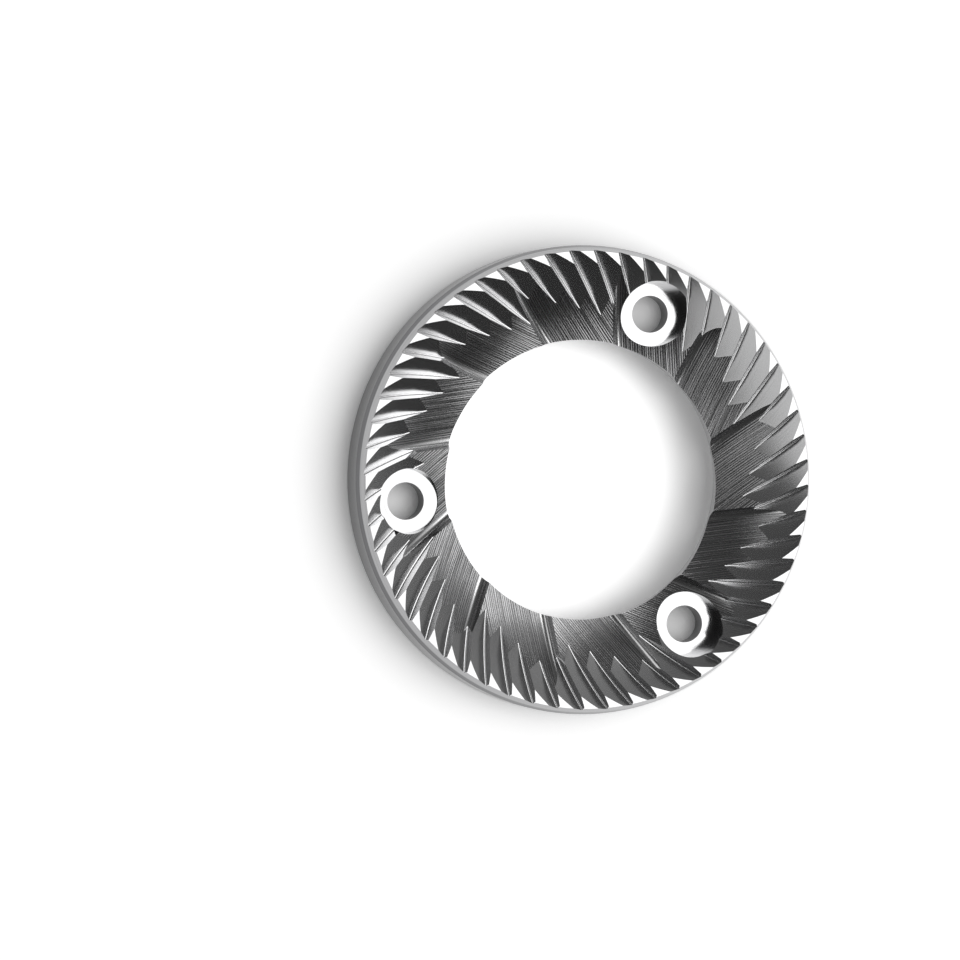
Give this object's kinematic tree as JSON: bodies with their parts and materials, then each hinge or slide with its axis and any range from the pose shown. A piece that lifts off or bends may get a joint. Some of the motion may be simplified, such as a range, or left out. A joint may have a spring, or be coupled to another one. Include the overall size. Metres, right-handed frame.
{
  "type": "coffee grinder burr",
  "caption": "Flat steel grinding ring with slanted cutting teeth on one face, breaker facets round its open centre and counterbored screw holes.",
  "frame": {"origin": "centre of the back face, on the ring's axis", "axes": "+Z along the ring's axis, out of the toothed face; +X and +Y lie in the back face"},
  "size_m": [0.064, 0.064, 0.008],
  "materials": {
    "ground_steel": "hardened steel, turned and ground bright"
  },
  "bodies": {
    "root": {"burr": "ground_steel"}
  },
  "joints": []
}
